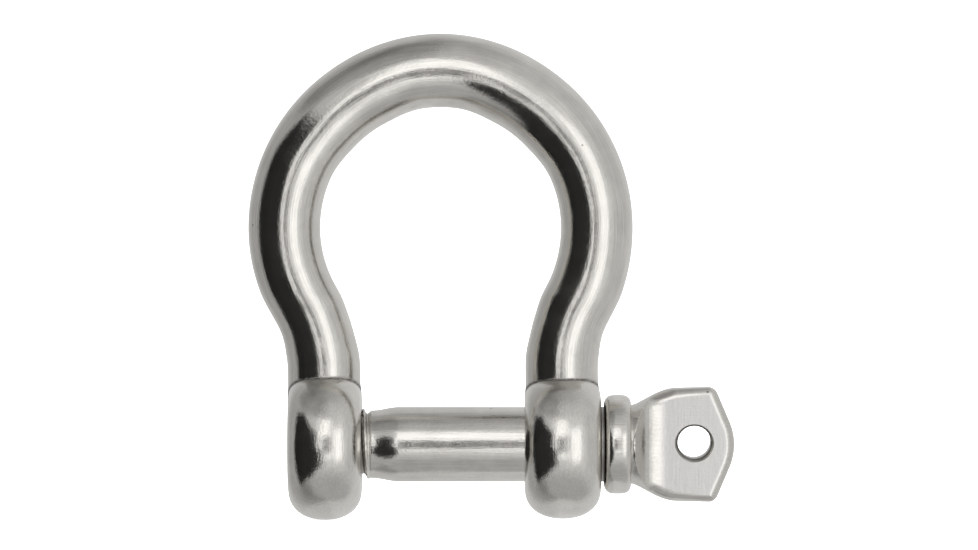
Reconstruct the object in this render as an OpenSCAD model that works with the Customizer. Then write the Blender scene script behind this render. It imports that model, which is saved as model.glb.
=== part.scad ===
// Bow shackle with a screw pin, in millimetres.
// The origin is on the pin's axis, midway between the two ears.
// +X runs along the pin towards its head, and +Z up towards the crown of the bow.

/* [Bow] */
// Diameter of the round bar that the bow is made of
bar_d = 10; // [8:0.1:12]
// Inside diameter of the bow's round part
bow_inner_d = 33.4; // [28:0.1:41]
// Height of the bow's centre above the pin's axis
bow_rise = 30.1; // [25:0.1:40]
// Bend radius of the shoulders, at the middle of the bar
shoulder_r = 19; // [12:0.5:24]
// How much the shoulders and legs swell over the bar, on the radius
leg_swell = 0.02; // [0.01:0.01:0.08]

/* [Ears] */
// Clear width of the jaw, from ear to ear
jaw_w = 22.6; // [18:0.1:27.2]
// Outside diameter of the ears
ear_d = 21; // [17.5:0.1:26]
// How much thicker the threaded ear is than the bar
threaded_ear_extra = 0.2; // [0.1:0.1:2]
// How much thicker the plain ear is than the bar
plain_ear_extra = 0.6; // [0.1:0.1:2]
// How far the bar's inner side stands back from the jaw's face
leg_setback = 0.2; // [0.1:0.1:0.5]
// Rounding of the ears' rims
ear_rim_r = 4; // [2:0.1:4.8]
// Play of the shank in the plain ear, on the diameter
plain_play = 1; // [0.4:0.1:1.6]
// Chamfer at the mouths of both holes
mouth_chamfer = 0.5; // [0.2:0.1:1]

/* [Pin shank] */
// Diameter of the shank
shank_d = 10.4; // [8:0.1:12.6]
// How much smaller the thread is than the shank, on the diameter
thread_relief = 0.5; // [0.2:0.1:0.8]
// Play of the thread in its ear, on the radius
thread_play = 0.05; // [0.02:0.01:0.1]
// Distance from the jaw's face to the start of the shank's taper
taper_gap = 1.4; // [0.8:0.1:3]
// Length of the taper between the thread and the full shank
taper_l = 3.8; // [2:0.1:6]
// Diameter that the taper and the groove behind the thread come down to
taper_end_d = 9.4; // [7:0.1:9.6]
// Width of the groove behind the thread
groove_w = 0.7; // [0.4:0.1:0.8]
// How far the thread's end stops inside the threaded ear's outer face
tip_setback = 0.3; // [0:0.1:2]
// Chamfer on the thread's end
tip_chamfer = 1; // [0.4:0.1:1.6]

/* [Pin head] */
// Gap that is left between the collar and the plain ear
collar_gap = 0.4; // [0.4:0.1:1.5]
// How far the collar stands out from the shank all round
collar_lip = 1.7; // [1:0.1:4]
// Width of the collar along the pin
collar_w = 3.8; // [2.6:0.1:6]
// Rounding of the collar's edges
collar_edge_r = 1.1; // [0.4:0.1:1.2]
// Length of the tab, from the collar to its tip
tab_l = 14.3; // [12:0.1:18]
// Height of the tab at its widest
tab_h = 15.8; // [13.2:0.1:19]
// Height of the tab where it leaves the collar
neck_h = 11; // [9.2:0.1:12.4]
// Thickness of the tab
tab_t = 4.5; // [3:0.1:6]
// Radius of the tab's rounded tip
tab_end_r = 8; // [5:0.1:10]
// Slant of the tab's end on both sides of the tip, in degrees
tab_end_slant = 23; // [15:1:30]
// Rounding of the tab's two corners
tab_corner_r = 0.7; // [0.4:0.1:2]
// How far the neck runs out over the tab's faces
neck_l = 2.6; // [1.5:0.1:4]
// Length over which the tab flares from its neck to its full height
flare_l = 5.9; // [4:0.1:6.8]
// Diameter of the hole in the tab
tab_hole_d = 4.6; // [4:0.1:6]
// How far the hole's centre is above the tab's middle
tab_hole_rise = 0.4; // [0:0.1:0.6]
// Distance from the tab's tip to the hole's centre
tab_hole_inset = 5.6; // [4.7:0.1:6.8]

/* [Hidden] */
$fn = 96;
eps = 0.01;
lap_a = 0.5; // how far the round part's ends run on into the shoulders
steel = [0.78, 0.79, 0.8];

bar_r = bar_d / 2;
bow_r = bow_inner_d / 2 + bar_r;
leg_r = bar_r + leg_swell;
leg_x = jaw_w / 2 + leg_setback + bar_r;
shoulder_a = acos((leg_x + shoulder_r) / (bow_r + shoulder_r));
shoulder_z = bow_rise - (bow_r + shoulder_r) * sin(shoulder_a);

threaded_ear_t = bar_d + threaded_ear_extra;
plain_ear_t = bar_d + plain_ear_extra;
threaded_face_x = -jaw_w / 2 - threaded_ear_t;
plain_face_x = jaw_w / 2 + plain_ear_t;

shank_r = shank_d / 2;
thread_r = (shank_d - thread_relief) / 2;
thread_hole_r = thread_r + thread_play;
plain_hole_r = shank_r + plain_play / 2;
tip_x = threaded_face_x + tip_setback;
taper_x = -jaw_w / 2 + taper_gap;
collar_x = plain_face_x + collar_gap;

collar_r = shank_r + collar_lip;
tab_x = collar_x + collar_w;
tab_tip_x = tab_x + tab_l;
hole_x = tab_tip_x - tab_hole_inset;

// Points on an arc about [x, y], from angle a to angle b
function arc(x, y, r, a, b, n = 12) =
    [for (i = [0 : n]) [x + r * cos(a + (b - a) * i / n), y + r * sin(a + (b - a) * i / n)]];

// A smooth rise from 0 to 1
function ease(t) = t * t * (3 - 2 * t);

// Lays a shape that was drawn along +Z down along +X
module along_x() {
    rotate([0, 90, 0]) children();
}

// A profile for turning, w wide from the axis and t thick, with its two outer corners rounded
module turned_profile(w, t, r) {
    square([w - r, t]);
    translate([0, r]) square([w, t - 2 * r]);
    for (y = [r, t - r]) translate([w - r, y]) circle(r);
}

// A disc along +X from x, with rounded rims
module rounded_disc(x, r, t, rim_r) {
    translate([x, 0, 0]) along_x() rotate_extrude() turned_profile(r, t, rim_r);
}

// A stretch of bar of radius thick, bent to radius r about [x, z], from angle a through angle turn
module bent_bar(x, z, r, thick, a, turn) {
    translate([x, 0, z]) rotate([90, 0, 0])
        rotate_extrude(angle = turn, start = a) translate([r, 0]) circle(thick);
}

// The bow's round part, from shoulder to shoulder
module round_part() {
    bent_bar(0, bow_rise, bow_r, bar_r, -shoulder_a - lap_a, 180 + 2 * (shoulder_a + lap_a));
}

// One side below the round part: the shoulder's reverse bend, and the straight leg down to the ear
module shoulder_and_leg() {
    bent_bar(leg_x + shoulder_r, shoulder_z, shoulder_r, leg_r, 180 - shoulder_a, shoulder_a);
    translate([leg_x, 0, 0]) cylinder(r = leg_r, h = shoulder_z);
}

// A hole through an ear from x to x + t, with chamfered mouths
module ear_hole(x, t, r) {
    translate([x, 0, 0]) along_x() {
        translate([0, 0, -1]) cylinder(r = r, h = t + 2);
        translate([0, 0, -eps]) cylinder(r1 = r + mouth_chamfer, r2 = r, h = mouth_chamfer);
        translate([0, 0, t + eps - mouth_chamfer])
            cylinder(r1 = r, r2 = r + mouth_chamfer, h = mouth_chamfer);
    }
}

// The bow: one bent bar with an ear on each end, one threaded and one plain
module bow_body() {
    color(steel) difference() {
        union() {
            round_part();
            shoulder_and_leg();
            mirror([1, 0, 0]) shoulder_and_leg();
            rounded_disc(threaded_face_x, ear_d / 2, threaded_ear_t, ear_rim_r);
            rounded_disc(jaw_w / 2, ear_d / 2, plain_ear_t, ear_rim_r);
        }
        ear_hole(threaded_face_x, threaded_ear_t, thread_hole_r);
        ear_hole(jaw_w / 2, plain_ear_t, plain_hole_r);
    }
}

// The pin's round part, turned about its axis: thread, groove, taper and shank
module pin_shank() {
    color(steel) along_x() rotate_extrude() polygon([
        [0, tip_x],
        [thread_r - tip_chamfer, tip_x],
        [thread_r, tip_x + tip_chamfer],
        [thread_r, taper_x - groove_w],
        [taper_end_d / 2, taper_x - groove_w],
        [taper_end_d / 2, taper_x],
        [shank_r, taper_x + taper_l],
        [shank_r, collar_x],
        [0, collar_x]
    ]);
}

// The tab's upper half outline, from the collar to the tip
function tab_edge() =
    let (top = tab_h / 2, low = neck_h / 2, end_x = tab_tip_x - tab_end_r,
         corner_z = top - tab_corner_r,
         corner_x = end_x
             + (tab_end_r - tab_corner_r - corner_z * sin(tab_end_slant)) / cos(tab_end_slant))
    concat(
        [[tab_x - collar_w / 2, low]],
        [for (i = [0 : 16]) [tab_x + flare_l * i / 16, low + (top - low) * ease(i / 16)]],
        arc(corner_x, corner_z, tab_corner_r, 90, tab_end_slant),
        arc(end_x, 0, tab_end_r, tab_end_slant, 0)
    );

// The tab's flat plate
module tab_plate() {
    edge = tab_edge();
    lower = [for (i = [len(edge) - 2 : -1 : 0]) [edge[i][0], -edge[i][1]]];
    translate([0, tab_t / 2, 0]) rotate([90, 0, 0])
        linear_extrude(height = tab_t) polygon(concat(edge, lower));
}

// The pin's head: the collar, and the tab with its hole for turning and securing the pin
module pin_head() {
    color(steel) difference() {
        union() {
            rounded_disc(collar_x, collar_r, collar_w, collar_edge_r);
            translate([tab_x - eps, 0, 0]) along_x()
                cylinder(r1 = neck_h / 2, r2 = tab_t / 2, h = neck_l);
            tab_plate();
        }
        translate([hole_x, 0, tab_hole_rise]) rotate([90, 0, 0])
            cylinder(d = tab_hole_d, h = tab_t + 2, center = true);
    }
}

bow_body();
pin_shank();
pin_head();
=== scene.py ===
"""A polished bow shackle with a screw pin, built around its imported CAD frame."""

import math
from collections import namedtuple

import bpy
import numpy as np
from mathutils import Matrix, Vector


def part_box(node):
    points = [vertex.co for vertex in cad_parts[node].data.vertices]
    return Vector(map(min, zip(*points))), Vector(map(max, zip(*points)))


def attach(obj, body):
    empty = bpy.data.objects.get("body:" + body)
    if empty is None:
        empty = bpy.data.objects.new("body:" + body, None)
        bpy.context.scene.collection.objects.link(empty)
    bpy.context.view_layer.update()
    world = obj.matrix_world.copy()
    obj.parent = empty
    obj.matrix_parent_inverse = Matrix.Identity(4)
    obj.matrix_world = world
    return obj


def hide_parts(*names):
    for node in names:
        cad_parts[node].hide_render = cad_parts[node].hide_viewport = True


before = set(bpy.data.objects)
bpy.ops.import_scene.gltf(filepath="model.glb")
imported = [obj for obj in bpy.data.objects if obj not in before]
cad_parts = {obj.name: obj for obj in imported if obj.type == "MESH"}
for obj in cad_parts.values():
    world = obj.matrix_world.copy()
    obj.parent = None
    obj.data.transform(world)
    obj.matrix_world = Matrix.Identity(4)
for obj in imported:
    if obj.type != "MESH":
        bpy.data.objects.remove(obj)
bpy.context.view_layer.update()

MM = 0.001  # shapes are worked out in millimetres, and meshes are made in metres

# ---------------------------------------------------------------- sizes, in millimetres

bow_low, bow_high = (np.array(c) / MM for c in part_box("bow_body"))
shank_low, shank_high = (np.array(c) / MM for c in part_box("pin_shank"))
head_low, head_high = (np.array(c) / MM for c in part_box("pin_head"))

# the bow's ears
JAW_W = 22.6
THREADED_EAR_T = 10.2
PLAIN_EAR_T = 10.6
EAR_R = bow_high[1]
PLAIN_EAR_LESS = 0.17  # the plain ear is ground a little smaller
PLAIN_EAR_R = EAR_R - PLAIN_EAR_LESS
EAR_RIM = 4.2  # depth of the ears' rounded rims
EAR_BULGE = 2.25  # how round the rims are: 2 is an ellipse, and more is boxier
CREASE_R = 0.28  # the fillet between the bar and its ears
PLAIN_HOLE_R = 5.7
HOLE_MOUTH = 0.45

# the bow's bar
BAR_R = 5.0
LEG_SETBACK = 0.2  # how far the legs' inner sides are outside the ears' inner faces
LEG_X = JAW_W / 2 + LEG_SETBACK + BAR_R
BOW_R = bow_high[0] - BAR_R
BOW_Z = bow_high[2] - bow_high[0]
SHOULDER_R = 19.0
SHOULDER_A = math.acos((LEG_X + SHOULDER_R) / (BOW_R + SHOULDER_R))
BEND_X = LEG_X + SHOULDER_R
BEND_Z = BOW_Z - (BOW_R + SHOULDER_R) * math.sin(SHOULDER_A)

# the bar's small irregularities: a band is where it starts, where it ends, and how softly
CROWN_SWAY = 0.38  # how far the crown leans to the left
SWAY_START_Z = 4
CROWN_PEAK = 0.24  # how much the crown comes to a point
PEAK_SPAN = 42  # in degrees from the top
CROWN_FULL = 0.34  # how much the bar is fuller on the inside, either side of the crown
FULL_BAND = (28, 46, 20)  # in degrees from the top
LEG_SWELL = 0.07
SWELL_TOP_Z = BOW_Z - 10
SWELL_SPAN = 8
LEG_PINCH = 0.17  # where the shoulders were bent, the bar is a little thinner
PINCH_BAND = (15.5, 17.5, 3.5)  # in heights above the pin

# the pin's thread, taper and shank
SHANK_R = shank_high[1]
TIP_X = shank_low[0]
TIP_CHAMFER = 1.0
TAPER_GAP = 1.4
TAPER_X = -JAW_W / 2 + TAPER_GAP
TAPER_L = 3.8
TAPER_END_R = 4.72
RUN_OUT_L = 0.9
PITCH = 1.5
CREST_R = 4.95
ROOT_R = 4.1
CREST_FLAT = 1 / 8  # of the pitch
ROOT_FLAT = 1 / 4  # of the pitch
ROOT_AT_X = -10.31  # where a groove's root meets the top of the pin
THREAD_START = 1 / 4 - ROOT_AT_X / PITCH

# the thread in the ear
THREAD_PLAY = 0.06
THREAD_INNER_R = ROOT_R + 0.1
THREAD_OUTER_R = CREST_R + 0.08
COUNTERSINK = 0.3  # how much wider than the pin's thread its mouths are at the ear's faces
COUNTERSINK_MAX = 0.55  # the same beyond the faces, where the cutter stops growing

# the pin's collar
COLLAR_X = head_low[0]
COLLAR_R = head_high[1]
COLLAR_W = 3.8
COLLAR_RIM = 1.7  # depth of the collar's rounded rim
COLLAR_BULGE = 3.0  # how round the rim is, as for the ears
COLLAR_FOOT = 0.12  # how much wider than the shank the collar starts

# the pin's neck and tab
TAB_X = COLLAR_X + COLLAR_W
TAB_TIP_X = head_high[0]
TAB_TOP = head_high[2]
TAB_HALF_T = 2.25
TAB_SUNK = 1.5  # how far the neck reaches into the collar
NECK_R = 5.5
NECK_TUCK = 0.6  # how much smaller than the neck the collar ends
TAB_END_SLANT = math.radians(23)
TAB_END_R = 8.0
TAB_CORNER_R = 0.9
FLARE_L = 6.4
FLARE_BEND = 0.75  # below 1, the flare rises sooner
TAB_TAPER = 0.03  # how much the plate still widens after its flare, as a slope
NECK_EDGE_R = 0.25
NECK_EDGE_L = 0.8
EDGE_GROWTH_L = 2.4  # the edges grow rounder over this length after the neck
TAB_EDGE_R = 1.3
TAB_EDGE_EXTRA = 0.6  # how much rounder its edges are near the neck
EDGE_EXTRA_END = 10  # how far from the collar this has ended
EDGE_EXTRA_SPAN = 7

# the scoops that thin the neck into the plate, measured back from where the plate's flat faces end
SCOOP_L = 4.9
SCOOP_X = TAB_X + SCOOP_L
SCOOP_BREAK = 2.5  # the scoop turns steeper at this distance
SCOOP_GENTLE = 0.076  # how fast the first part curves
SCOOP_LEAN = 0.67  # how steeply the second part starts
SCOOP_STEEP = 0.36  # how fast it curves
SCOOP_STEEP_L = 3

# the tab's hole
TAB_HOLE_R = 2.3
TAB_HOLE_INSET = 5.6
TAB_HOLE_X = TAB_TIP_X - TAB_HOLE_INSET
TAB_HOLE_Z = 0.4
TAB_HOLE_MOUTH = 0.42
TAB_HOLE_LEAN = -3.5  # the hole was drilled a little off square, in degrees

# mesh fineness
BOW_CELL = 0.33
BOW_ROOM = 0.5  # more empty space on the side to which the crown leans
TAB_CELL = 0.16
TURNS_SEGMENTS = 128
TAB_HOLE_SEGMENTS = 64
THREAD_RINGS = 200
TAPER_RINGS = 20
SHANK_RINGS = 40
COLLAR_RINGS = 41
EAR_THREAD_RINGS = 171
CUTTER_REACH = 1  # how far a hole's cutter goes past the faces that it cuts
EAR_THREAD_REACH = 0.6
MOUTH_OFFSET = 0.01  # keeps a cutter's rim off the face that it cuts
ON_SURFACE = 0.004  # a mesh point is on a field's surface if it is nearer than this
TINY = 1e-9  # keeps powers and divisions safe at zero
LEAST_SLOPE = 1e-6  # the same for the square of a field's slope
LEAST_RISE = 0.001  # the same for how far the tab's flare has risen

# ---------------------------------------------------------------- looks

# a pattern in the steel: waves a millimetre along, out from and across the bar, and its bumps' depth in mm
Pattern = namedtuple("Pattern", "stretch detail rough depth", defaults=[0])
WAVES = Pattern((0.11, 0.16, 0.16), 1, 0.55, 0.050)
LINES = Pattern((0.12, 1.5, 1.5), 2, 0.55, 0.012)
STREAKS = Pattern((0.16, 5.0, 5.0), 3, 0.6, 0.011)
GRAIN = Pattern((2.6, 2.6, 2.6), 3, 0.65, 0.017)
BRUSHING = Pattern((3.5, 3.5, 0.25), 3, 0.6, 0.012)
CLOUDS = Pattern((0.35, 0.35, 0.35), 4, 0.55)

PITS_PER_MM = 0.30
PIT_CORE = 0.02  # of the distance between pits
PIT_EDGE = 0.06
PIT_CHANCE = (0.80, 0.82)  # a cell has a pit if its random number is above these
PIT_DEPTH = 0.03
# how far the pits are darkened towards the dark colour
PIT_DARK = 0.8

STEEL_ROUGH = (0.10, 0.17)
STEEL_DARK = (0.60, 0.583, 0.550, 1)
STEEL_LIGHT = (0.74, 0.722, 0.682, 1)
SATIN_ROUGH = 0.20
SATIN_DARK = (0.69, 0.674, 0.657, 1)
SATIN_LIGHT = (0.80, 0.784, 0.766, 1)
CREASE_ROUGH = 0.3
# the colour of the painted shade in creases, and of the darkened pits
SHADE_AND_PIT_COLOUR = (0.10, 0.09, 0.08, 1)
CLOUD_RANGE = (0.3, 0.7)  # the part of the clouds' noise that roughness follows
TONE_RANGE = (0.68, 1.32)  # the same for clouds and streaks together, which the colour follows

# where painted shade darkens the creases, in millimetres, and how dark
EAR_CREASE_W = 0.16
EAR_CREASE_LOW_Z = 5
CREASE_SOFT = 0.5
THREAD_SHADE = 0.5
COLLAR_SHADE = 0.85
COLLAR_CREASE_H = 1.1
COLLAR_CREASE_BEFORE = 0.7
COLLAR_CREASE_AFTER = 0.3
BORE_SHADE = 0.9
BORE_CREASE_W = 0.25
SATIN_DEPTH = 0.035  # how far below the tab's faces is still satin
SATIN_SOFT = 0.025
SATIN_FADE = 1.6

FLOOR_HALF = 3000
FLOOR_COLOUR = (0.92, 0.92, 0.92, 1)
FLOOR_ROUGH = 0.9
FLOOR_GLOW = 0.88
WHITE = (1, 1, 1, 1)
ROOM_BRIGHTNESS = 1.6

# the light tent, in degrees to the right of the camera and degrees up: a band is where it starts, where it
# ends, and how softly, and a patch is how much it changes the light, its band across and its band up
TENT_R = 350
TENT_STEP = 2.0
TENT_BRIGHTNESS = 0.645
LEFT_DARK = 0.195
LEFT_BAND = (-120, -80, 35)
BACK_BRIGHT = 0.08
BACK_BAND = (130, 200, 30)
Patch = namedtuple("Patch", "amount across up")
UPPER_SHADE = Patch(0.38, (-100, -15, 20), (44, 70, 10))
LOWER_SHADE = Patch(0.25, (-85, -60, 20), (-66, -54, 10))
LAMPS = [
    Patch(0.18, (-8, 45, 22), (-28, 30, 20)),  # the pale front
    Patch(0.66, (-6, 6, 6), (14, 30, 9)),  # above the camera
    Patch(0.62, (20, 36, 8), (-22, 14, 12)),  # to its right
    Patch(0.46, (-2, 8, 5), (-23, -17, 4)),  # below it
    Patch(0.40, (-11, -6, 3), (-10, 12, 6)),  # to its left
]
CAMERA_PATCH = Patch(0.90, (-3.2, 1.8, 1.4), (-14, 5, 5))  # the camera itself is dark

# a ramp is where it starts, over how many degrees it goes on, and how much it comes to
Ramp = namedtuple("Ramp", "start span amount")
TOP_DARK = Ramp(50, 35, 0.45)  # of the degrees up
TOP_LESS_DARK = 0.35
TOP_LESS_BAND = (20, 120, 40)
BOTTOM_DARK = Ramp(35, 25, 0.24)  # of the degrees down
BOTTOM_BAND = (-100, 100, 40)

# the tent's dark doorway
DOORWAY_DARK = 0.955
DOORWAY_SOFT = 4
DOORWAY_LEFT = -86
DOORWAY_RIGHT = -17.5
RIGHT_SHIFT = Ramp(4, 15, 8.5)  # of the degrees down
DOORWAY_TOP = 34
TOP_FALL_RIGHT = Ramp(-56, 46, 26)
TOP_FALL_LEFT = Ramp(60, 28, 10)  # of the degrees to the left
DOORWAY_FOOT = -47
FOOT_RISE = Ramp(-42, 38, 13)

CAMERA_LENS = 200.0
CAMERA_SENSOR = 36.0
CAMERA_X = 6.35
CAMERA_Z = 23.5
VIEW_W = 135.8333  # how much the picture shows from left to right, at the pin's axis


# ---------------------------------------------------------------- shaping tools


def ease(t):
    """A smooth rise from 0 to 1 as t goes from 0 to 1."""
    t = np.clip(t, 0.0, 1.0)
    return t * t * (3 - 2 * t)


def bell(x, low, high, soft):
    """1 between low and high, falling smoothly to 0 over soft beyond them."""
    return ease((x - low) / soft + 1) * ease((high - x) / soft + 1)


def joined(a, b, r):
    """Two fields joined, with a fillet of about radius r where they meet."""
    near = np.maximum(r - np.abs(a - b), 0) / r
    return np.minimum(a, b) - near * near * r / 4


def trimmed(a, b, r):
    """What two fields share, with its edge rounded to radius r."""
    return np.minimum(-r, np.maximum(a, b)) + np.hypot(np.maximum(a + r, 0), np.maximum(b + r, 0))


def slope(field, points, step=0.01):
    """The gradient of a field at each point."""
    columns = []
    for axis in range(3):
        shift = np.zeros(3)
        shift[axis] = step
        ahead, behind = points + shift, points - shift
        columns.append((field(*ahead.T) - field(*behind.T)) / (2 * step))
    return np.stack(columns, 1)


def pulled_on(field, points, rounds=3):
    """Points moved onto the surface where the field is zero."""
    for _ in range(rounds):
        g = slope(field, points)
        points = points - g * (field(*points.T) / np.maximum((g * g).sum(1), LEAST_SLOPE))[:, None]
    return points


def net(field, low, high, cell):
    """A closed mesh of quads on the surface where the field is zero: its points and its faces."""
    # the grid leaves more than a cell of empty space on every side
    axes = [np.arange(a - 1.5 * cell, b + 2.5 * cell, cell) for a, b in zip(low, high)]
    inside = field(axes[0][:, None, None], axes[1][None, :, None], axes[2][None, None, :]) < 0
    n = [len(a) for a in axes]
    corner = inside[:-1, :-1, :-1].astype(np.int8)
    count = np.zeros_like(corner)
    for i in (0, 1):
        for j in (0, 1):
            for k in (0, 1):
                count += inside[i:n[0] - 1 + i, j:n[1] - 1 + j, k:n[2] - 1 + k]
    # the surface runs through cells with some, but not all, of their 8 corners inside
    mixed = (count > 0) & (count < 8)
    cells = np.argwhere(mixed)
    number = np.full(mixed.shape, -1, np.int64)
    number[mixed] = np.arange(len(cells))
    points = np.stack([axes[a][cells[:, a]] + cell / 2 for a in range(3)], 1)
    faces = []
    for axis in range(3):
        u, v = (axis + 1) % 3, (axis + 2) % 3
        first = [slice(None)] * 3
        first[axis] = slice(0, -1)
        second = [slice(None)] * 3
        second[axis] = slice(1, None)
        a, b = inside[tuple(first)], inside[tuple(second)]
        for leaving in (True, False):
            at = np.argwhere((a & ~b) if leaving else (~a & b))
            ring = []
            for du, dv in ((-1, -1), (0, -1), (0, 0), (-1, 0)):
                c = at.copy()
                c[:, u] += du
                c[:, v] += dv
                ring.append(number[c[:, 0], c[:, 1], c[:, 2]])
            quad = np.stack(ring, 1)
            faces.append(quad if leaving else quad[:, ::-1])
    faces = np.concatenate(faces)
    points = pulled_on(field, points)
    return relaxed(field, points, faces), faces


def relaxed(field, points, faces, rounds=4):
    """The points spread evenly over the same surface."""
    a = faces.ravel()
    b = np.roll(faces, -1, axis=1).ravel()
    ends = np.concatenate([a, b])
    others = np.concatenate([b, a])
    share = np.bincount(ends, minlength=len(points))[:, None]
    for _ in range(rounds):
        mean = np.stack([np.bincount(ends, points[others, k], len(points)) for k in range(3)], 1)
        points = pulled_on(field, 0.5 * points + 0.5 * mean / share, 1)
    return pulled_on(field, points, 2)


def new_piece(name, points, faces):
    """A mesh object from points in millimetres and faces of any number of corners."""
    mesh = bpy.data.meshes.new(name)
    mesh.from_pydata((np.asarray(points) * MM).tolist(), [], [list(map(int, f)) for f in faces])
    mesh.validate()
    mesh.update()
    piece = bpy.data.objects.new(name, mesh)
    bpy.context.scene.collection.objects.link(piece)
    return piece


def turned(name, xs, radii):
    """A closed solid about the X axis from its rings: where each one is, and its radius at every angle."""
    rings, m = radii.shape
    turn = 2 * math.pi * np.arange(m) / m
    x = np.broadcast_to(np.asarray(xs, float).reshape(rings, -1), radii.shape)
    points = np.stack([x, radii * np.cos(turn), radii * np.sin(turn)], 2).reshape(-1, 3)
    here = np.arange(m)
    after = (here + 1) % m
    faces = []
    for i in range(rings - 1):
        a, b = i * m, (i + 1) * m
        faces.append(np.stack([a + here, a + after, b + after, b + here], 1))
    faces = np.concatenate(faces).tolist()
    faces.append(list(range(m))[::-1])
    faces.append(list(range((rings - 1) * m, rings * m)))
    return new_piece(name, points, faces)


def combined(piece, other, operation):
    """The piece after other is added to it or cut from it. The other piece is used up."""
    step = piece.modifiers.new("step", "BOOLEAN")
    step.operation = operation
    step.solver = "EXACT"
    step.object = other
    bpy.context.view_layer.update()
    done = piece.evaluated_get(bpy.context.evaluated_depsgraph_get())
    mesh = bpy.data.meshes.new_from_object(done)
    old = piece.data
    piece.modifiers.clear()
    piece.data = mesh
    mesh.name = piece.name
    bpy.data.meshes.remove(old)
    bpy.data.objects.remove(other)
    return piece


def shade(piece, field, sharp_deg=32):
    """Smooth shading that follows the field's true surface, with crisp edges where faces meet sharply."""
    mesh = piece.data
    mesh.shade_smooth()
    mesh.set_sharp_from_angle(angle=math.radians(sharp_deg))
    loops = len(mesh.loops)
    corners = np.zeros(loops * 3, np.float32)
    mesh.corner_normals.foreach_get("vector", corners)
    corners = corners.reshape(-1, 3)
    owner = np.zeros(loops, np.int32)
    mesh.loops.foreach_get("vertex_index", owner)
    co = np.zeros(len(mesh.vertices) * 3, np.float32)
    mesh.vertices.foreach_get("co", co)
    co = co.reshape(-1, 3) / MM
    g = slope(field, co.astype(float))
    g /= np.maximum(np.linalg.norm(g, axis=1), TINY)[:, None]
    on = np.abs(field(*co.astype(float).T)) < ON_SURFACE
    sizes = np.zeros(len(mesh.polygons), np.int32)
    mesh.polygons.foreach_get("loop_total", sizes)
    flat = np.zeros(len(mesh.polygons) * 3, np.float32)
    mesh.polygons.foreach_get("normal", flat)
    flat = np.repeat(flat.reshape(-1, 3), sizes, axis=0)
    true = g[owner]
    use = on[owner] & ((true * flat).sum(1) > math.cos(math.radians(sharp_deg)))
    corners[use] = true[use]
    mesh.normals_split_custom_set(corners.tolist())


# ---------------------------------------------------------------- the bow


def ear(x, y, z, radius, thick, sign):
    """One ear: a disc about the pin's axis with a full, rounded rim."""
    out = np.maximum(np.hypot(y, z) - (radius - EAR_RIM), 0) / EAR_RIM
    off = np.abs(x - sign * (JAW_W / 2 + thick / 2)) / (thick / 2)
    return ((out**EAR_BULGE + off**EAR_BULGE + TINY) ** (1 / EAR_BULGE) - 1) * EAR_RIM


def both_ears(x, y, z):
    """The threaded ear on the left, and the plain ear on the right."""
    threaded = ear(x, y, z, EAR_R, THREADED_EAR_T, -1)
    plain = ear(x, y, z, PLAIN_EAR_R, PLAIN_EAR_T, 1)
    return np.minimum(threaded, plain)


def bar_line(x, z):
    """How far a place is outside the bar's middle line and along it, and its degrees from the bow's top."""
    x = x + CROWN_SWAY * ease((z - SWAY_START_Z) / (BOW_Z - SWAY_START_Z))
    side = np.abs(x)
    up = z - BOW_Z
    on_round = up * math.cos(SHOULDER_A) + side * math.sin(SHOULDER_A) > 0
    from_top = np.arctan2(side, up)
    bend_z = z - BEND_Z
    bend = np.arctan2(bend_z, BEND_X - side)
    round_l = BOW_R * (math.pi / 2 + SHOULDER_A)
    bend_l = SHOULDER_R * SHOULDER_A
    round_off = np.hypot(side, up) - BOW_R
    bend_off = SHOULDER_R - np.hypot(side - BEND_X, bend_z)
    out = np.where(on_round, round_off, np.where(bend_z > 0, bend_off, side - LEG_X))
    in_bend = round_l + bend_l - SHOULDER_R * bend
    along = np.where(on_round, BOW_R * from_top, np.where(bend_z > 0, in_bend, round_l + bend_l - bend_z))
    return out, along * np.where(x < 0, -1, 1), np.degrees(from_top)


def bar(x, y, z):
    """The bent bar: the round part, the shoulders' reverse bends and the straight legs."""
    out, _, from_top = bar_line(x, z)
    peak = CROWN_PEAK * (1 - ease(from_top / PEAK_SPAN))
    full = CROWN_FULL * bell(from_top, *FULL_BAND)
    swell = LEG_SWELL * ease((SWELL_TOP_Z - z) / SWELL_SPAN) - LEG_PINCH * bell(z, *PINCH_BAND)
    off = np.hypot(out - (peak - full) / 2, np.minimum(z, 0))
    return np.hypot(off, y) - BAR_R - swell - (peak + full) / 2


def bow_field(x, y, z):
    """The bow without its holes."""
    return joined(bar(x, y, z), both_ears(x, y, z), CREASE_R)


def thread_phase(x, turn):
    """Where a place is across the right-hand thread's groove: 0 at its root, and 0.5 at the crest."""
    along = x / PITCH - turn / (2 * math.pi) + THREAD_START
    return np.abs((along + 0.5) % 1.0 - 0.5)


def groove(x, turn, low, high, grow=0.0):
    """The thread's radius: low at its root, high at its crest, and its flanks nearer the crest by grow."""
    flank = 0.5 - CREST_FLAT / 2 - ROOT_FLAT / 2
    share = (thread_phase(x, turn) - ROOT_FLAT / 2 - grow / PITCH) / flank
    return low + (high - low) * np.clip(share, 0, 1)


def turns():
    """The angles at which a turned part has its points."""
    return 2 * math.pi * np.arange(TURNS_SEGMENTS) / TURNS_SEGMENTS


def hole_cutter(name, start, end, r, mouth, segments):
    """The cutter about the X axis for a plain hole between two faces, with eased mouths."""
    before = [start - CUTTER_REACH, start - MOUTH_OFFSET, start + mouth]
    after = [end - mouth, end + MOUTH_OFFSET, end + CUTTER_REACH]
    wide = r + mouth
    radii = np.array([wide, wide, r, r, wide, wide])
    return turned(name, before + after, np.repeat(radii[:, None], segments, 1))


def plain_hole():
    """The cutter for the plain ear's hole."""
    inner_x = JAW_W / 2
    return hole_cutter("plain_hole", inner_x, inner_x + PLAIN_EAR_T, PLAIN_HOLE_R, HOLE_MOUTH, TURNS_SEGMENTS)


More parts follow.
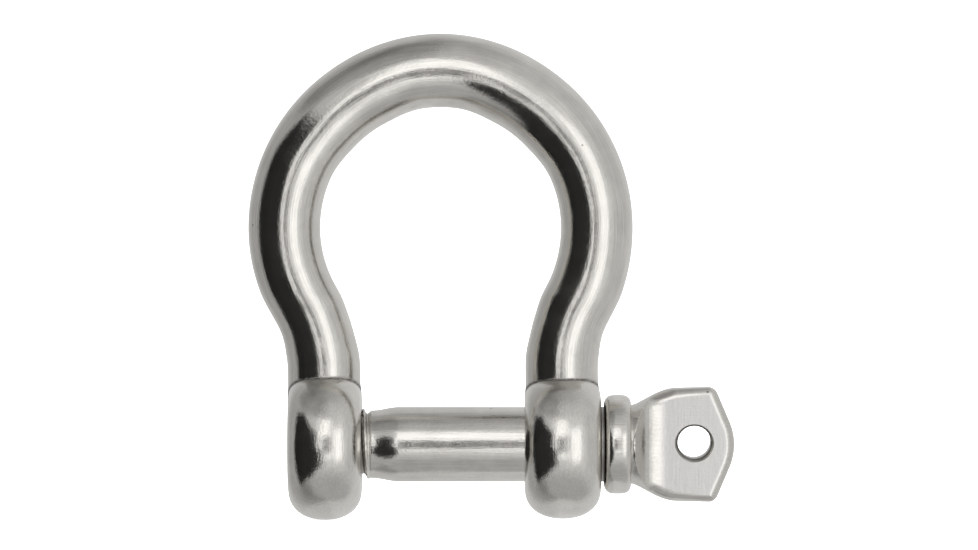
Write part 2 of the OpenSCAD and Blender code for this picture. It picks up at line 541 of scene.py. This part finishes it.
def threaded_hole():
    """The cutter for the threaded ear's hole: the pin's thread with play, and countersunk mouths."""
    outer_x, inner_x = -JAW_W / 2 - THREADED_EAR_T, -JAW_W / 2
    xs = np.linspace(outer_x - EAR_THREAD_REACH, inner_x + EAR_THREAD_REACH, EAR_THREAD_RINGS)
    radii = groove(xs[:, None], turns()[None, :], THREAD_INNER_R, THREAD_OUTER_R, -THREAD_PLAY)
    mouth = CREST_R + COUNTERSINK - np.minimum(xs - outer_x, inner_x - xs)
    mouth = np.minimum(mouth, CREST_R + COUNTERSINK_MAX)
    return turned("threaded_hole", xs, np.maximum(radii, mouth[:, None]))


def make_bow():
    """The bow, meshed from its field, with both ears' holes cut."""
    low = [-bow_high[0] - CROWN_SWAY - BOW_ROOM, -EAR_R, -EAR_R]
    points, faces = net(bow_field, low, bow_high, BOW_CELL)
    bow = new_piece("bow", points, faces)
    combined(bow, plain_hole(), "DIFFERENCE")
    combined(bow, threaded_hole(), "DIFFERENCE")
    shade(bow, bow_field)
    return bow


# ---------------------------------------------------------------- the pin


def shank_radius(x, turn):
    """The pin's radius from its tip to the collar: thread, run-out, taper and shank."""
    smooth = TAPER_END_R + (SHANK_R - TAPER_END_R) * ease((x - TAPER_X) / TAPER_L)
    fade = ease((x - TAPER_X) / RUN_OUT_L + 1)
    low = ROOT_R + (TAPER_END_R - ROOT_R) * fade
    high = CREST_R + (TAPER_END_R - CREST_R) * fade
    cut = groove(x, turn, low, high)
    end = CREST_R - TIP_CHAMFER + (x - TIP_X)
    return np.minimum(np.where(x < TAPER_X, cut, smooth), end)


def make_pin_round():
    """The pin's turned part: thread, taper, shank and collar."""
    xs = np.concatenate([
        np.linspace(TIP_X, TAPER_X, THREAD_RINGS),
        np.linspace(TAPER_X, TAPER_X + TAPER_L, TAPER_RINGS)[1:],
        np.linspace(TAPER_X + TAPER_L, COLLAR_X, SHANK_RINGS)[1:],
    ])
    radii = shank_radius(xs[:, None], turns()[None, :])
    sweep = np.linspace(-math.pi / 2, math.pi / 2, COLLAR_RINGS)
    across = np.sign(sweep) * np.abs(np.sin(sweep)) ** (2 / COLLAR_BULGE)
    height = np.abs(np.cos(sweep)) ** (2 / COLLAR_BULGE)
    rim_x = COLLAR_X + COLLAR_W / 2 * (1 + across)
    rim_r = COLLAR_R - COLLAR_RIM * (1 - height)
    collar_x = np.concatenate([[COLLAR_X], rim_x, [TAB_X]])
    collar_r = np.concatenate([[SHANK_R + COLLAR_FOOT], rim_r, [NECK_R - NECK_TUCK]])
    xs = np.concatenate([xs, collar_x])
    radii = np.concatenate([radii, np.repeat(collar_r[:, None], TURNS_SEGMENTS, 1)])
    return turned("pin_round", xs, radii)


def scoop(x):
    """The plate's half thickness, which swells into the neck in two curves, and how steeply it does."""
    gentle = np.clip(SCOOP_X - x, 0, SCOOP_BREAK)
    steep = np.clip(SCOOP_X - SCOOP_BREAK - x, 0, SCOOP_STEEP_L)
    half = TAB_HALF_T + SCOOP_GENTLE * gentle**2 + SCOOP_LEAN * steep + SCOOP_STEEP * steep**2
    lean = np.where(steep > 0, SCOOP_LEAN + 2 * SCOOP_STEEP * steep, 2 * SCOOP_GENTLE * gentle)
    return half, lean


def tab_field(x, y, z):
    """The tab and its neck: a round neck that is scooped out into a flat, flared plate."""
    flare = TAB_TOP - NECK_R
    rise = np.clip((x - TAB_X) / FLARE_L, LEAST_RISE, 1)
    bent = rise**FLARE_BEND
    top = NECK_R + flare * ease(bent) + TAB_TAPER * np.maximum(x - TAB_X - FLARE_L, 0)
    # top's slope along the pin. The slope of ease(t) is 6 t (1 - t).
    climb = flare / FLARE_L * 6 * bent * (1 - bent) * FLARE_BEND * bent / rise
    edge = (np.abs(z) - top) / np.sqrt(1 + climb * climb)
    from_x = x - (TAB_TIP_X - TAB_END_R)
    slanted = from_x * math.cos(TAB_END_SLANT) + np.abs(z) * math.sin(TAB_END_SLANT)
    rounded = np.abs(z) < from_x * math.tan(TAB_END_SLANT)
    end = np.where(rounded, np.hypot(from_x, z), slanted) - TAB_END_R
    outline = trimmed(edge, end, TAB_CORNER_R)
    half, lean = scoop(x)
    face = (np.abs(y) - half) / np.sqrt(1 + lean**2)
    edge_r = TAB_EDGE_R + TAB_EDGE_EXTRA * ease((TAB_X + EDGE_EXTRA_END - x) / EDGE_EXTRA_SPAN)
    growth = ease((x - TAB_X - NECK_EDGE_L) / EDGE_GROWTH_L)
    plate = trimmed(outline, face, NECK_EDGE_R + (edge_r - NECK_EDGE_R) * growth)
    neck = np.hypot(y, z) - top
    return np.maximum(np.maximum(plate, neck), TAB_X - TAB_SUNK - x)


def tab_hole():
    """The cutter for the hole in the tab."""
    half = TAB_HALF_T
    cutter = hole_cutter("tab_hole", -half, half, TAB_HOLE_R, TAB_HOLE_MOUTH, TAB_HOLE_SEGMENTS)
    cutter.rotation_euler = (0, math.radians(TAB_HOLE_LEAN), math.radians(90))
    cutter.location = (TAB_HOLE_X * MM, 0, TAB_HOLE_Z * MM)
    return cutter


def make_pin():
    """The screw pin: its turned part and its tab joined, with the tab's hole cut."""
    pin = make_pin_round()
    low = [TAB_X - TAB_SUNK, -NECK_R, -TAB_TOP]
    high = [TAB_TIP_X, NECK_R, TAB_TOP]
    points, faces = net(tab_field, low, high, TAB_CELL)
    combined(pin, new_piece("tab", points, faces), "UNION")
    combined(pin, tab_hole(), "DIFFERENCE")
    shade(pin, tab_field)
    pin.name = "screw_pin"
    return pin


# ---------------------------------------------------------------- what the materials read


def points_of(piece):
    """The mesh's points in millimetres, as three columns."""
    co = np.zeros(len(piece.data.vertices) * 3, np.float32)
    piece.data.vertices.foreach_get("co", co)
    return co.reshape(-1, 3).astype(float).T / MM


def paint(piece, name, values):
    """Stores a number or a vector for every point of the mesh, for its material to read."""
    values = np.asarray(values, np.float32)
    vector = values.ndim == 2
    kind, field = ("FLOAT_VECTOR", "vector") if vector else ("FLOAT", "value")
    piece.data.attributes.new(name, kind, "POINT").data.foreach_set(field, values.ravel())


def paint_bow(bow):
    """Where each point would be if the bar were straight, and the painted shade where the bar meets an ear.
    """
    x, y, z = points_of(bow)
    out, along, _ = bar_line(x, z)
    on_bar = bar(x, y, z)
    ears = both_ears(x, y, z)
    in_ear = (ears < on_bar)[:, None]
    straight = np.where(in_ear, np.stack([z, x, y], 1), np.stack([along, out, y], 1))
    paint(bow, "straight", straight)
    apart = np.abs(on_bar - ears)
    # painted shade in the fillet where the bar meets the ears, above EAR_CREASE_LOW_Z
    paint(bow, "crease_shade", np.exp(-((apart / EAR_CREASE_W) ** 2)) * (z > EAR_CREASE_LOW_Z))


def paint_pin(pin):
    """The same for the pin, which is straight as it is, and which of its faces are satin."""
    x, y, z = points_of(pin)
    r = np.hypot(y, z)
    paint(pin, "straight", np.stack([x, y, z], 1))
    on_face = ease((np.abs(y) - TAB_HALF_T + SATIN_DEPTH) / SATIN_SOFT)
    paint(pin, "satin", on_face * ease((x - SCOOP_X) / SATIN_FADE + 1))
    # painted shade in the thread's grooves, in the gap before the collar and inside the tab's hole
    on_thread = (x < TAPER_X) * (x > TIP_X + TIP_CHAMFER)
    deep = ease((TAPER_END_R - r) / CREASE_SOFT) * on_thread
    at_collar = (x > COLLAR_X - COLLAR_CREASE_BEFORE) * (x < COLLAR_X + COLLAR_CREASE_AFTER)
    gap = ease((SHANK_R + COLLAR_CREASE_H - r) / CREASE_SOFT) * at_collar
    from_hole = np.hypot(x - TAB_HOLE_X, z - TAB_HOLE_Z)
    between_mouths = np.abs(y) < TAB_HALF_T - TAB_HOLE_MOUTH + MOUTH_OFFSET
    bore = (from_hole < TAB_HOLE_R + BORE_CREASE_W) * between_mouths * (x > TAB_X)
    paint(pin, "crease_shade", np.clip(THREAD_SHADE * deep + COLLAR_SHADE * gap + BORE_SHADE * bore, 0, 1))


# ---------------------------------------------------------------- materials


def new_material(name, shader_kind="ShaderNodeBsdfPrincipled"):
    """A material with one shader: the material, its nodes and the shader."""
    material = bpy.data.materials.new(name)
    material.use_nodes = True
    tree = material.node_tree
    tree.nodes.clear()
    shader = tree.nodes.new(shader_kind)
    out = tree.nodes.new("ShaderNodeOutputMaterial")
    tree.links.new(shader.outputs[0], out.inputs["Surface"])
    return material, tree, shader


def stored(tree, name):
    """The node that reads a value stored with the mesh's points."""
    node = tree.nodes.new("ShaderNodeAttribute")
    node.attribute_name = name
    return node


def noise(tree, place, pattern):
    """A pattern's noise, from 0 to 1."""
    scaled = tree.nodes.new("ShaderNodeVectorMath")
    scaled.operation = "MULTIPLY"
    scaled.inputs[1].default_value = pattern.stretch
    tree.links.new(place, scaled.inputs[0])
    node = tree.nodes.new("ShaderNodeTexNoise")
    node.inputs["Scale"].default_value = 1.0
    node.inputs["Detail"].default_value = pattern.detail
    node.inputs["Roughness"].default_value = pattern.rough
    tree.links.new(scaled.outputs[0], node.inputs["Vector"])
    return node.outputs["Fac"]


def graded(tree, value, low, high, to_low, to_high):
    """Maps a range of values onto another."""
    node = tree.nodes.new("ShaderNodeMapRange")
    node.inputs["From Min"].default_value = low
    node.inputs["From Max"].default_value = high
    node.inputs["To Min"].default_value = to_low
    node.inputs["To Max"].default_value = to_high
    tree.links.new(value, node.inputs["Value"])
    return node.outputs["Result"]


def given(tree, value, socket):
    """Gives a socket its value, which is a number, a colour or another node's socket."""
    if isinstance(value, (int, float, tuple)):
        socket.default_value = value
    else:
        tree.links.new(value, socket)


def worked(tree, operation, a, b):
    """Arithmetic on two values, each a socket or a number."""
    node = tree.nodes.new("ShaderNodeMath")
    node.operation = operation
    given(tree, a, node.inputs[0])
    given(tree, b, node.inputs[1])
    return node.outputs[0]


def tinted(tree, amount, a, b):
    """Colour a where amount is 0, and b where it is 1. Each is a socket or a colour."""
    node = tree.nodes.new("ShaderNodeMix")
    node.data_type = "RGBA"
    colour_a, colour_b = (s for s in node.inputs if s.type == "RGBA")
    given(tree, amount, node.inputs["Factor"])
    given(tree, a, colour_a)
    given(tree, b, colour_b)
    return next(s for s in node.outputs if s.type == "RGBA")


def bumped(tree, height, depth_mm, under=None):
    """A bump of that depth, on top of another one if there is one."""
    node = tree.nodes.new("ShaderNodeBump")
    node.inputs["Strength"].default_value = 1.0
    node.inputs["Distance"].default_value = depth_mm * MM
    tree.links.new(height, node.inputs["Height"])
    if under is not None:
        tree.links.new(under, node.inputs["Normal"])
    return node.outputs["Normal"]


def pits(tree, place):
    """A few pinprick pits: 1 in a pit, and 0 elsewhere."""
    cells = tree.nodes.new("ShaderNodeTexVoronoi")
    cells.inputs["Scale"].default_value = PITS_PER_MM
    tree.links.new(place, cells.inputs["Vector"])
    near = graded(tree, cells.outputs["Distance"], PIT_CORE, PIT_EDGE, 1, 0)
    split = tree.nodes.new("ShaderNodeSeparateColor")
    tree.links.new(cells.outputs["Color"], split.inputs[0])
    chosen = graded(tree, split.outputs[0], *PIT_CHANCE, 0, 1)
    return worked(tree, "MULTIPLY", near, chosen)


def polished(tree, place, pit):
    """The polished steel's normals, and the noise of its clouds and of its streaks."""
    lines = noise(tree, place, LINES)
    streaks = noise(tree, place, STREAKS)
    waves = noise(tree, place, WAVES)
    grain = noise(tree, place, GRAIN)
    clouds = noise(tree, place, CLOUDS)
    normal = bumped(tree, waves, WAVES.depth)
    normal = bumped(tree, lines, LINES.depth, normal)
    normal = bumped(tree, streaks, STREAKS.depth, normal)
    normal = bumped(tree, grain, GRAIN.depth, normal)
    normal = bumped(tree, worked(tree, "MULTIPLY", pit, -1), PIT_DEPTH, normal)
    return normal, clouds, streaks


def steel(name, satin_faces=False):
    """Stainless steel with lengthways polishing lines, faint waves, fine grain, darkened pits and painted
    shade in its creases.
    """
    material, tree, shader = new_material(name)
    place = stored(tree, "straight").outputs["Vector"]
    crease_shade = stored(tree, "crease_shade").outputs["Fac"]
    pit = pits(tree, place)
    normal, clouds, streaks = polished(tree, place, pit)

    rough = graded(tree, clouds, *CLOUD_RANGE, *STEEL_ROUGH)
    rough = worked(tree, "ADD", rough, worked(tree, "MULTIPLY", crease_shade, CREASE_ROUGH))
    tone = graded(tree, worked(tree, "ADD", clouds, streaks), *TONE_RANGE, 0, 1)
    colour = tinted(tree, tone, STEEL_DARK, STEEL_LIGHT)
    # painted shade in the creases, and the darkened pits, mixed into the colour
    shade_and_pit_dark = worked(tree, "MAXIMUM", crease_shade, worked(tree, "MULTIPLY", pit, PIT_DARK))
    if satin_faces:
        satin = stored(tree, "satin").outputs["Fac"]
        brushed = noise(tree, place, BRUSHING)
        normal = bumped(tree, worked(tree, "MULTIPLY", brushed, satin), BRUSHING.depth, normal)
        rough = worked(tree, "ADD", rough, worked(tree, "MULTIPLY", satin, SATIN_ROUGH))
        colour = tinted(tree, satin, colour, tinted(tree, brushed, SATIN_DARK, SATIN_LIGHT))
    colour = tinted(tree, shade_and_pit_dark, colour, SHADE_AND_PIT_COLOUR)

    shader.inputs["Metallic"].default_value = 1.0
    tree.links.new(colour, shader.inputs["Base Color"])
    tree.links.new(rough, shader.inputs["Roughness"])
    tree.links.new(normal, shader.inputs["Normal"])
    return material


# ---------------------------------------------------------------- floor, light and camera


def make_floor():
    """A plain white floor at the bow's lowest point."""
    z = bow_low[2]
    half = FLOOR_HALF
    corners = [(-half, -half, z), (half, -half, z), (half, half, z), (-half, half, z)]
    floor = new_piece("floor", corners, [(0, 1, 2, 3)])
    material, _, shader = new_material("floor_white")
    shader.inputs["Base Color"].default_value = FLOOR_COLOUR
    shader.inputs["Roughness"].default_value = FLOOR_ROUGH
    shader.inputs["Emission Color"].default_value = WHITE
    shader.inputs["Emission Strength"].default_value = FLOOR_GLOW
    floor.data.materials.append(material)
    floor.visible_glossy = False


def spot(patch, across, up):
    """How much a patch of the tent changes the light in a direction."""
    return patch.amount * bell(across, *patch.across) * bell(up, *patch.up)


def straight_ramp(x, ramp):
    """A ramp's amount so far at x, where it rises evenly."""
    return ramp.amount * np.clip((x - ramp.start) / ramp.span, 0, 1)


def smooth_ramp(x, ramp):
    """A ramp's amount so far at x, where it rises smoothly."""
    return ramp.amount * ease((x - ramp.start) / ramp.span)


def in_doorway(across, up):
    """1 inside the tent's dark doorway, and 0 outside it."""
    top = DOORWAY_TOP - straight_ramp(across, TOP_FALL_RIGHT) - straight_ramp(-across, TOP_FALL_LEFT)
    right = DOORWAY_RIGHT + smooth_ramp(-up, RIGHT_SHIFT)
    foot = DOORWAY_FOOT + smooth_ramp(across, FOOT_RISE)
    return bell(across, DOORWAY_LEFT, right, DOORWAY_SOFT) * bell(up, foot, top, DOORWAY_SOFT)


def tent_brightness(across, up):
    """How bright the light tent is in a direction: degrees to the right of the camera, and degrees up."""
    side = TENT_BRIGHTNESS - LEFT_DARK * bell(across, *LEFT_BAND) + BACK_BRIGHT * bell(across, *BACK_BAND)
    top = 1 - smooth_ramp(up, TOP_DARK) * (1 - TOP_LESS_DARK * bell(across, *TOP_LESS_BAND))
    bottom = 1 - smooth_ramp(-up, BOTTOM_DARK) * bell(across, *BOTTOM_BAND)
    shades = (1 - spot(UPPER_SHADE, across, up)) * (1 - spot(LOWER_SHADE, across, up))
    tent = side * top * bottom * shades
    for lamp in LAMPS:
        tent = tent + spot(lamp, across, up)
    return tent * (1 - DOORWAY_DARK * in_doorway(across, up)) * (1 - spot(CAMERA_PATCH, across, up))


def make_room():
    """A white world all round, which lights the floor."""
    world = bpy.data.worlds.new("studio")
    world.use_nodes = True
    background = world.node_tree.nodes["Background"]
    background.inputs["Color"].default_value = WHITE
    background.inputs["Strength"].default_value = ROOM_BRIGHTNESS
    bpy.context.scene.world = world


def make_tent():
    """A light tent with a dark doorway, which only the steel's reflections see."""
    across = np.arange(-180, 180, TENT_STEP)
    up = np.arange(-90, 91, TENT_STEP)
    u, a = np.meshgrid(np.radians(up), np.radians(across), indexing="ij")
    points = np.stack([np.cos(u) * np.sin(a), -np.cos(u) * np.cos(a), np.sin(u)], 2).reshape(-1, 3)
    n = len(across)
    here = np.arange(n)
    after = (here + 1) % n
    faces = []
    for i in range(len(up) - 1):
        low, high = i * n, (i + 1) * n
        faces.append(np.stack([low + here, low + after, high + after, high + here], 1))
    tent = new_piece("light_tent", points * TENT_R + [0, 0, BOW_Z], np.concatenate(faces))
    paint(tent, "glow", tent_brightness(np.degrees(a), np.degrees(u)).ravel())
    material, tree, shine = new_material("tent_light", "ShaderNodeEmission")
    tree.links.new(stored(tree, "glow").outputs["Fac"], shine.inputs["Strength"])
    tent.data.materials.append(material)
    tent.visible_camera = False
    tent.visible_diffuse = False
    tent.visible_shadow = False


def make_camera():
    """A long lens straight in front, so that the picture is almost flat."""
    data = bpy.data.cameras.new("camera")
    data.lens = CAMERA_LENS
    data.sensor_width = CAMERA_SENSOR
    camera = bpy.data.objects.new("camera", data)
    away = VIEW_W * CAMERA_LENS / CAMERA_SENSOR
    camera.location = (CAMERA_X * MM, -away * MM, CAMERA_Z * MM)
    camera.rotation_euler = (math.radians(90), 0, 0)
    bpy.context.scene.collection.objects.link(camera)
    bpy.context.scene.camera = camera


# ---------------------------------------------------------------- the whole

bow = make_bow()
paint_bow(bow)
bow.data.materials.append(steel("bow_steel"))
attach(bow, "bow")
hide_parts("bow_body")

pin = make_pin()
paint_pin(pin)
pin.data.materials.append(steel("pin_steel", satin_faces=True))
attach(pin, "pin_screw")
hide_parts("pin_shank", "pin_head")

make_floor()
make_room()
make_tent()
make_camera()
bpy.context.scene.view_settings.view_transform = "Standard"
